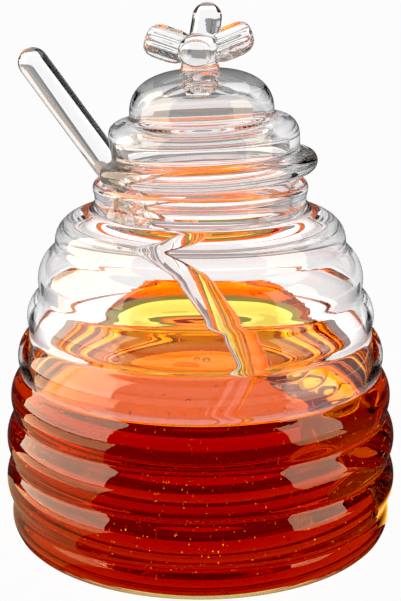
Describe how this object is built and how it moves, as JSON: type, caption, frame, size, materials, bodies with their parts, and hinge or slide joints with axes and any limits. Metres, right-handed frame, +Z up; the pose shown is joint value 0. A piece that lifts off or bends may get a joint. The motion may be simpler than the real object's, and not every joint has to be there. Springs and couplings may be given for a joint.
{
  "type": "honey jar with dipper",
  "caption": "Ribbed clear glass honey jar with amber honey to about half its height, a stepped glass lid with a bee knob, and a glass dipper leaning out of the lid's notch.",
  "frame": {"origin": "centre of the jar's base, on the surface it stands on", "axes": "+Z up along the jar's axis; the dipper leans towards -X; the bee on the lid faces -Y"},
  "size_m": [0.102, 0.102, 0.135],
  "materials": {
    "jar_glass": "clear blown soda-lime glass, smooth, with rounded ribs",
    "honey": null,
    "lid_glass": "clear pressed glass, fire polished",
    "dipper_glass": "clear solid glass rod and grooved head"
  },
  "bodies": {
    "root": {"jar": "jar_glass", "honey": "honey", "lid": "lid_glass", "dipper": "dipper_glass"}
  },
  "joints": []
}
